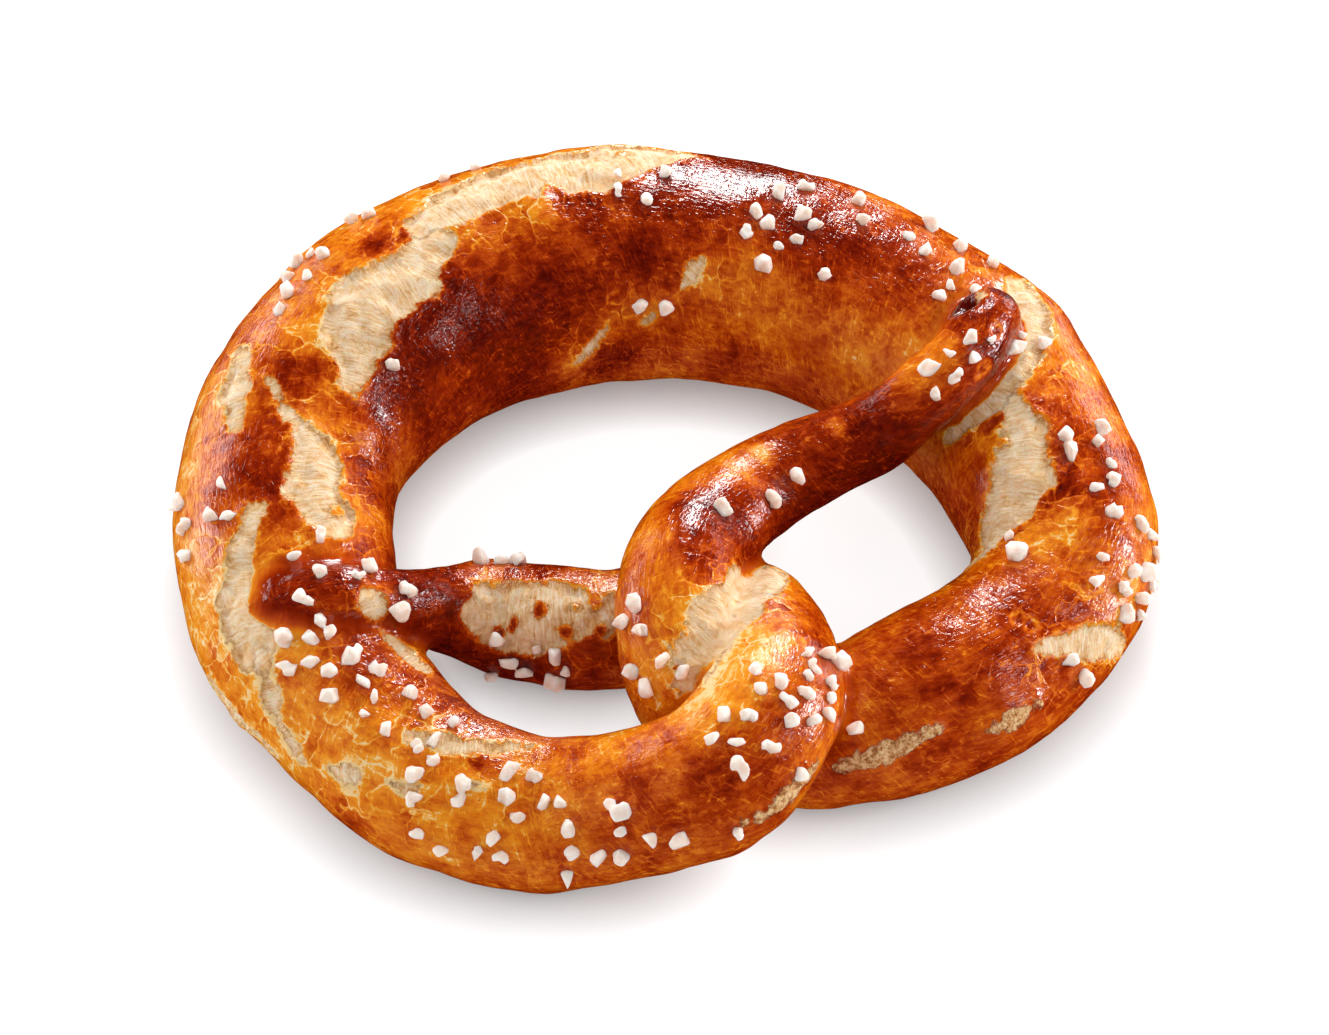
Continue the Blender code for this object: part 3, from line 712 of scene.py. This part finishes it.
def crust_material():
    """Lye-baked crust: a thin glazed skin, glossy and finely wrinkled, golden where it was stretched and
    mahogany where it browned longest, with torn wheat crumb that is pale, matt and drawn into fibres."""
    made, tree, shader = new_material("lye_baked_crust_and_crumb")
    kept = ("tear", "fibre_run", "fibre_side", "rubbed", "bake", "printed", "seam", "along", "round")
    tear, fibre_run, fibre_side, rubbed, bake, printed, seam, along, around, underside = [
        add(tree, "Attribute", out="Fac", attribute_name=name) for name in (*kept, "underside")
    ]
    body = add(tree, "TexCoord", out="Object")
    slant = add(tree, "Math", (around, SLANT, along), operation="MULTIPLY_ADD")
    places = {
        "body": add(tree, "VectorMath", {"Vector": body, "Scale": 1 / MM}, operation="SCALE"),
        "skin": add(tree, "CombineXYZ", (along, around)),
        "slant": add(tree, "CombineXYZ", (slant, around)),
        "tear": add(tree, "CombineXYZ", (fibre_run, fibre_side)),
    }
    pattern = {}
    for name, (place, grain, layers, strength, swirl) in PATTERNS.items():
        grains = tuple(np.broadcast_to(grain, 3))
        spot = add(tree, "VectorMath", (places[place], grains), operation="DIVIDE")
        wires = {"Vector": spot, "Scale": 1, "Detail": layers, "Roughness": strength, "Distortion": swirl}
        pattern[name] = add(tree, "TexNoise", wires, "Color" if name == "cell_bends" else "Fac")

    # The edge of a tear and of a rubbed patch, ragged to a millimetre. A MapRange takes a value, the two
    # ends of its range, and what they become, which is 0 and 1 where it isn't given
    teeth = add(tree, "Math", (pattern["teeth"], 2.6, -1.3), operation="MULTIPLY_ADD")
    edge = add(tree, "Math", (tear, teeth), operation="ADD")
    crumb = add(tree, "MapRange", (edge, -0.05, 0.2))
    rough_patch = add(tree, "Math", (rubbed, teeth), operation="ADD")
    rough_patch = add(tree, "MapRange", (rough_patch, -0.1, 0.3))

    # The golden net of veins between cells of the crust, faint where it is baked dark, and the cells
    bend = add(tree, "VectorMath", {"Vector": pattern["cell_bends"], "Scale": CELL_BEND}, operation="SCALE")
    spot = add(tree, "VectorMath", (places["skin"], CELL_SIZE), operation="DIVIDE")
    spot = {"Vector": add(tree, "VectorMath", (spot, bend), operation="ADD"), "Scale": 1}
    gap = add(tree, "TexVoronoi", spot, "Distance", feature="DISTANCE_TO_EDGE")
    vein = add(tree, "MapRange", (gap, 0, 0.07, 1, 0), interpolation_type="SMOOTHSTEP")
    cell = add(tree, "SeparateXYZ", (add(tree, "TexVoronoi", spot, "Color"),))
    cell = add(tree, "Math", (cell, 0.34, -0.12), operation="MULTIPLY_ADD")
    apart = add(tree, "Math", (1, seam), operation="SUBTRACT")
    veined = add(tree, "MapRange", (pattern["vein_areas"], 0.42, 0.56))
    less_if_dark = add(tree, "MapRange", (bake, 0.55, 0.85, 1, 0.12))
    more_near_tears = add(tree, "MapRange", (edge, -11, -3, 0.35, 1))
    for share in (less_if_dark, more_near_tears, apart):
        veined = add(tree, "Math", (veined, share), operation="MULTIPLY")
    vein = add(tree, "Math", (vein, veined), operation="MULTIPLY")
    cell = add(tree, "Math", (cell, veined), operation="MULTIPLY")

    # Golden hairs, specks and flakes where the skin stretched, and brown spots in its golden parts
    hairs = add(tree, "MapRange", (pattern["hairs"], 0.6, 0.66))
    hairs = add(tree, "Math", (hairs, apart), operation="MULTIPLY")
    specks = add(tree, "MapRange", (pattern["specks"], 0.56, 0.64))
    for share in (add(tree, "MapRange", (pattern["speck_areas"], 0.45, 0.6)), apart):
        specks = add(tree, "Math", (specks, share), operation="MULTIPLY")
    flakes = add(tree, "MapRange", (pattern["flakes"], 0.6, 0.64))
    for share in (add(tree, "MapRange", (bake, 0.35, 0.6, 1, 0.25)), apart):
        flakes = add(tree, "Math", (flakes, share), operation="MULTIPLY")
    browned = add(tree, "MapRange", (pattern["browned"], 0.5, 0.64))
    golden = add(tree, "MapRange", (bake, 0.4, 0.55, 1, 0))
    browned = add(tree, "Math", (browned, golden), operation="MULTIPLY")
    halo = add(tree, "MapRange", (edge, -2.6, 0), interpolation_type="SMOOTHSTEP")
    rim = add(tree, "MapRange", (edge, -0.7, -0.1))

    # How dark the crust is: its patches with blotches and crisp edges, then mottle and cells, and then
    # what each of the finer patterns adds or, below zero, takes away
    blotches = add(tree, "Math", (pattern["blotches"], 0.6, -0.3), operation="MULTIPLY_ADD")
    patchy = add(tree, "Math", (bake, blotches), operation="ADD")
    crisp = add(tree, "MapRange", (patchy, 0.12, 0.92), interpolation_type="SMOOTHSTEP")
    patchy = add(tree, "Mix", {"Factor": 0.6, "A": patchy, "B": crisp}, data_type="FLOAT")
    mottle = add(tree, "Math", (pattern["mottle"], 0.84, -0.42), operation="MULTIPLY_ADD")
    mottle = add(tree, "Math", (mottle, apart), operation="MULTIPLY")
    mottle = add(tree, "Math", (mottle, cell), operation="ADD")
    dark = add(tree, "Math", (patchy, mottle), operation="ADD")
    for what, darker in (
        (vein, -0.32),
        (hairs, -0.17),
        (specks, -0.26),
        (browned, 0.16),
        (flakes, -0.2),
        (halo, -0.1),
        (rim, -0.28),
        (printed, -0.4),
    ):
        dark = add(tree, "Math", (what, darker, dark), operation="MULTIPLY_ADD")

    # The crumb: pale, drawn into fibres across the tear and darker towards its rim. Its colour follows the
    # same fibres and fluff as its relief, so shade is painted into its hollows and light onto its tufts
    fibres = add(tree, "Mix", {"Factor": apart, "A": 0.5, "B": pattern["fibres"]}, data_type="FLOAT")
    drawn_out = add(tree, "Math", (fibres, 0.66, -0.08), operation="MULTIPLY_ADD")
    fluffy = add(tree, "Math", (pattern["fluff"], 0.62), operation="MULTIPLY")
    pale = add(tree, "Math", (drawn_out, fluffy), operation="ADD")
    darker_at_rim = add(tree, "MapRange", (edge, 0, 1, 0.2, 0.07))
    pale = add(tree, "Math", (pale, darker_at_rim), operation="SUBTRACT")
    colour = add(tree, "ValToRGB", (dark,), ramp=CRUST_COLOURS)
    # The crumb's and the grit's colours come from the same patterns as their relief: painted shade in the
    # hollows and painted light on the tufts
    for share, level, colours in (
        (crumb, pale, CRUMB_COLOURS_PAINTED_SHADE_TO_LIGHT),
        (rough_patch, pattern["grit"], GRIT_COLOURS_PAINTED_SHADE_TO_LIGHT),
        (underside, pattern["base"], BASE_COLOURS),
    ):
        over = add(tree, "ValToRGB", (level,), ramp=colours)
        colour = add(tree, "MixRGB", (share, colour, over))

    # Gloss: the glaze is uneven, the crumb and the base are matt, and so is the hole in the right end,
    # which is found by the painted shade in it
    gloss = add(tree, "Math", (pattern["glaze"], -0.5, dark), operation="MULTIPLY_ADD")
    gloss = add(tree, "MapRange", (gloss, 0, 0.5, 0.26, 0.12))
    matt = add(tree, "Math", (crumb, rough_patch), operation="MAXIMUM")
    matt = add(tree, "Math", (matt, underside), operation="MAXIMUM")
    rough = add(tree, "Mix", {"Factor": matt, "A": gloss, "B": 0.85}, data_type="FLOAT")
    painted_shade_hole = add(tree, "MapRange", (dark, 1.15, 1.4, 0, 0.8))
    rough = add(tree, "Math", (rough, painted_shade_hole), operation="MAXIMUM")

    # Relief in mm: fine wrinkles along the rope, fibres, grit, and the crust's thickness at a tear
    creases = add(tree, "Math", (pattern["creases"], 0.07), operation="MULTIPLY")
    glaze = add(tree, "Math", (pattern["wrinkles"], 0.15, creases), operation="MULTIPLY_ADD")
    glaze = add(tree, "Math", (glaze, apart), operation="MULTIPLY")
    glaze = add(tree, "Math", (vein, -0.05, glaze), operation="MULTIPLY_ADD")
    glaze = add(tree, "Math", (glaze, 0.5), operation="ADD")
    tufts = add(tree, "Math", (pattern["fluff"], 0.42), operation="MULTIPLY")
    threads = add(tree, "Math", (fibres, 0.38, tufts), operation="MULTIPLY_ADD")
    height = add(tree, "Mix", {"Factor": crumb, "A": glaze, "B": threads}, data_type="FLOAT")
    grit = add(tree, "Math", (rough_patch, pattern["grit"]), operation="MULTIPLY")
    height = add(tree, "Math", (grit, 0.8, height), operation="MULTIPLY_ADD")
    wires = {
        "Base Color": colour,
        "Roughness": rough,
        "Normal": add(tree, "Bump", {"Height": height, "Strength": 1, "Distance": MM}),
        "IOR": 1.45,
        "Specular IOR Level": 0.6,
        "Subsurface Weight": add(tree, "Math", (matt, 0.5), operation="MULTIPLY"),
        "Subsurface Radius": CRUMB_GLOW,
        "Subsurface Scale": MM,
    }
    wire(tree, shader, wires)
    return made


crust.data.materials.append(crust_material())
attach(crust, "root")
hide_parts("pretzel")

# The salt: coarse crystals of rock salt, strewn on the wet dough before baking, so that they sit a
# little way into the crust. Each is an irregular lump with worn edges, milky and faintly pink.

# Salt drifts: along, around, spread along in mm, spread around in degrees, number of grains
SALT_DRIFTS = (
    (13, 112, 5, 18, 7),
    (47, 125, 26, 14, 3),
    (92, 44, 4, 26, 7),
    (128, 52, 3, 8, 1),
    (166, 42, 9, 30, 7),
    (175, 28, 6, 18, 7),
    (189, 74, 8, 16, 8),
    (170, 116, 6, 8, 2),
    (215, 76, 5, 14, 3),
    (233, 76, 8, 28, 9),
    (256, 88, 9, 36, 13),
    (283, 94, 8, 12, 4),
    (285, 152, 9, 6, 2),
    (318, 50, 10, 8, 4),
    (341, 57, 6, 14, 7),
    (346, 133, 3, 6, 1),
    (383, 48, 6, 26, 6),
    (393, 102, 3, 10, 2),
    (414, 78, 7, 26, 11),
    (430, 88, 8, 26, 10),
    (443, 44, 8, 26, 8),
    (452, 70, 6, 16, 5),
    (466, 34, 6, 32, 8),
    (482, 22, 7, 18, 4),
    (491, 78, 5, 24, 12),
    (499, 48, 5, 18, 9),
    (569, 172, 9, 24, 8),
    (575, 54, 7, 10, 3),
    (604, 100, 8, 46, 6),
)
PLACES_SEED = 11
SHAPES_SEED = 12
# A grain's size in mm, how much of it is sunk into the crust, and the least way between two, in sizes
GRAIN_SIZE = (2.5, 3.9)
GRAIN_SINK = 0.3
GRAIN_SPACING = 0.95
# No grain lies lower than this, or where another strand covers the rope by more than this, in mm
LOWEST_GRAIN = 4.0
HIDDEN_BY = 1.5
TRIES_PER_GRAIN = 40
# A grain is one or two lumps grown together: each lump's size and offset as shares of the grain's size,
# its number of corners and its stretch
LUMPS_PER_GRAIN = (1, 2)
LUMP_SHARE = (0.7, 0.9)
LUMP_OFFSET = 0.24
LUMP_CORNERS = (10, 15)
LUMP_STRETCH = (0.8, 1.25)
# The grains' mesh in mm, and how much their edges are worn
GRAIN_VOXEL = 0.25
GRAIN_WEAR = 0.5
WEAR_ROUNDS = 3


def grain_places(skin):
    """Where each grain lies and how big it is: point, way out of the skin, and size in mm."""
    draw = random.Random(PLACES_SEED)
    tree = BVHTree.FromPolygons([v.co for v in skin.vertices], [p.vertices for p in skin.polygons])
    placed = []
    for drift_along, drift_around, spread_along, spread_around, count in SALT_DRIFTS:
        wanted = len(placed) + count
        for _ in range(TRIES_PER_GRAIN * count):
            if len(placed) == wanted:
                break
            size = draw.uniform(*GRAIN_SIZE)
            at = drift_along + draw.uniform(-1, 1) * spread_along
            turn = drift_around + draw.uniform(-1, 1) * spread_around
            index = int(np.abs(rope_along - at).argmin())
            surface, out = section(index, turn)
            spot, _, _, away = tree.find_nearest(Vector(surface[0]) * MM)
            if away > HIDDEN_BY * MM or spot.z < LOWEST_GRAIN * MM:
                continue
            spot = spot / MM
            least = GRAIN_SPACING / 2
            if all((spot - other).length > least * (size + near) for other, _, near in placed):
                placed.append((spot, Vector(out[0]), size))
    return placed


def random_way(draw):
    """A random way in space, one long."""
    return Vector([draw.gauss(0, 1) for _ in range(3)]).normalized()


def salt_lump(draw, across):
    """A broken crystal, as the hull round a few random corners."""
    lump = bmesh.new()
    stretch = Vector([draw.uniform(*LUMP_STRETCH) for _ in range(3)]) * across / 2
    for _ in range(draw.randint(*LUMP_CORNERS)):
        lump.verts.new(Vector(a * b for a, b in zip(random_way(draw), stretch)))
    hull = bmesh.ops.convex_hull(lump, input=lump.verts)
    inner = hull["geom_interior"] + hull["geom_unused"]
    spare = {piece for piece in inner if isinstance(piece, bmesh.types.BMVert)}
    bmesh.ops.delete(lump, geom=list(spare), context="VERTS")
    return lump


def salt_grains(skin):
    """All grains as one piece: broken crystals, each one or two lumps grown together, with worn edges."""
    draw = random.Random(SHAPES_SEED)
    rough = bmesh.new()
    for spot, out, size in grain_places(skin):
        grain_middle = spot + out * size * (0.5 - GRAIN_SINK)
        lumps = draw.randint(*LUMPS_PER_GRAIN)
        for _ in range(lumps):
            lump = salt_lump(draw, size * (draw.uniform(*LUMP_SHARE) if lumps > 1 else 1.0))
            aside = random_way(draw) * size * LUMP_OFFSET
            aside -= out * aside.dot(out)
            middle = grain_middle + (aside if lumps > 1 else Vector())
            lump.transform(Matrix.Scale(MM, 4) @ Matrix.Translation(middle))
            piece = bpy.data.meshes.new("lump")
            lump.to_mesh(piece)
            lump.free()
            rough.from_mesh(piece)
            bpy.data.meshes.remove(piece)
    bmesh.ops.recalc_face_normals(rough, faces=rough.faces)
    strewn = bpy.data.meshes.new("coarse_salt")
    rough.to_mesh(strewn)
    rough.free()
    return remeshed("coarse_salt", strewn, GRAIN_VOXEL, GRAIN_WEAR, WEAR_ROUNDS)


# Milky clouds in the salt and the frost on its skin: the size of their grains in mm, and the relief
CLOUD_GRAIN = 2.0
FROST_GRAIN = 0.625
FROST_DEPTH = 0.12
# How far red, green and blue light spread in the salt, in mm
SALT_GLOW = (2.0, 1.6, 1.4)


def salt_material():
    """Rock salt: clear inside but full of flaws, so it looks milky, with a frosted skin. Its refractive
    index is that of halite."""
    made, tree, shader = new_material("frosted_rock_salt")
    place = add(tree, "TexCoord", out="Object")
    cloud = add(tree, "TexNoise", {"Vector": place, "Scale": 1 / (CLOUD_GRAIN * MM), "Detail": 3})
    frost = add(tree, "TexNoise", {"Vector": place, "Scale": 1 / (FROST_GRAIN * MM), "Detail": 4})
    wires = {
        "Base Color": add(tree, "ValToRGB", (cloud,), ramp=((0.35, "#ecd3c4"), (0.62, "#faece2"))),
        "Normal": add(tree, "Bump", {"Height": frost, "Strength": 1, "Distance": FROST_DEPTH * MM}),
        "IOR": 1.54,
        "Roughness": 0.45,
        "Subsurface Weight": 0.8,
        "Subsurface Radius": SALT_GLOW,
        "Subsurface Scale": MM,
    }
    wire(tree, shader, wires)
    return made


salt = salt_grains(crust.data)
salt.data.shade_smooth()
salt.data.materials.append(salt_material())
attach(salt, "root")

# The table: a matt white board, so wide that it fills the view to its edges. It glows evenly from
# below, as a light table does, but for a soft shade close round the pretzel, which is painted into
# its glow: an occlusion lookup dims the glow to grey where the pretzel is near.

TABLE_SIDE = 6.0
TABLE_GLOW = 0.85
# How far the painted shade round the pretzel reaches in mm, and how many rays look for the pretzel
SHADE_REACH = 9.0
SHADE_RAYS = 8


def board_material():
    """White matt board: it scatters all light, so nothing is mirrored in it."""
    made, tree, shader = new_material("matt_white_board")
    # Painted shadow: the glow's colour goes from white to grey where the pretzel is near
    painted_shadow_openness = add(tree, "AmbientOcclusion", {"Distance": SHADE_REACH * MM}, "AO", samples=SHADE_RAYS)
    wires = {
        "Base Color": linear("#9a9a9a"),
        "Roughness": 0.95,
        "Specular IOR Level": 0.0,
        "Emission Color": add(tree, "MixRGB", (painted_shadow_openness, linear("#767676"), linear("#ffffff"))),
        "Emission Strength": TABLE_GLOW,
    }
    wire(tree, shader, wires)
    return made


bpy.ops.mesh.primitive_plane_add(size=TABLE_SIDE, location=(0.0, 0.0, 0.0))
table = bpy.context.object
table.name = "white_table"
table.data.materials.append(board_material())
table.visible_glossy = False
table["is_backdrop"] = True

# The studio: softboxes and pale cards on stands round the pretzel, which show in its glaze, three wide
# fills that don't, and the camera, which looks down at the twist from the front left.

# Where the camera stands: degrees turned and risen, mm from its target, and the target in mm
CAMERA_TURN = -24.0
CAMERA_RISE = 50.0
CAMERA_DISTANCE = 520.0
CAMERA_TARGET = Vector((-0.5, -5.5, 14.0))
LENS = 85.0
SENSOR_WIDTH = 36.0
NEAREST_SEEN = 0.01
# Lamps: degrees turned and risen, width and height in m, watts. They all stand as far off, in m
LAMP_DISTANCE = 0.9
LAMPS = {
    "back_softbox": (9, 26, 0.12, 0.36, 5.0),
    "right_softbox": (80, 13, 0.14, 0.2, 3.8),
    "left_softbox": (-75, 10, 0.2, 0.2, 1.5),
    "top_right_softbox": (100, 42, 0.14, 0.14, 0.6),
    "left_card": (-52, 8, 0.6, 0.26, 2.0),
    "right_card": (45, 6, 0.4, 0.2, 1.2),
}
FILLS = {
    "back_fill": (5, 40, 0.6, 0.6, 1.2),
    "right_fill": (105, 40, 0.6, 0.6, 1.4),
    "left_fill": (-105, 40, 0.6, 0.6, 1.8),
}
ROOM_LIGHT = 0.53


def seen_from(turn, rise):
    """The way from the pretzel to a stand, turned clockwise from straight behind it for the camera."""
    a, e = math.radians(turn - CAMERA_TURN), math.radians(rise)
    return Vector((math.sin(a) * math.cos(e), math.cos(a) * math.cos(e), math.sin(e)))


for name, (turn, rise, wide, high, watts) in {**LAMPS, **FILLS}.items():
    lamp = bpy.data.lights.new(name, "AREA")
    lamp.shape = "RECTANGLE"
    lamp.size = wide
    lamp.size_y = high
    lamp.energy = watts
    stand = bpy.data.objects.new(name, lamp)
    way = seen_from(turn, rise)
    stand.location = way * LAMP_DISTANCE
    stand.rotation_euler = way.to_track_quat("Z", "Y").to_euler()
    stand.visible_glossy = name in LAMPS
    bpy.context.scene.collection.objects.link(stand)

world = bpy.data.worlds.new("studio")
bpy.context.scene.world = world
world.use_nodes = True
world.node_tree.nodes["Background"].inputs["Color"].default_value = linear("#ffffff")
world.node_tree.nodes["Background"].inputs["Strength"].default_value = ROOM_LIGHT
world.cycles_visibility.glossy = False

lens = bpy.data.cameras.new("camera")
lens.lens = LENS
lens.sensor_width = SENSOR_WIDTH
lens.clip_start = NEAREST_SEEN
camera = bpy.data.objects.new("camera", lens)
way = seen_from(180.0, CAMERA_RISE)
camera.location = (CAMERA_TARGET + way * CAMERA_DISTANCE) * MM
camera.rotation_euler = way.to_track_quat("Z", "Y").to_euler()
bpy.context.scene.collection.objects.link(camera)
bpy.context.scene.camera = camera
bpy.context.scene.view_settings.view_transform = "Standard"

low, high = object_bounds()
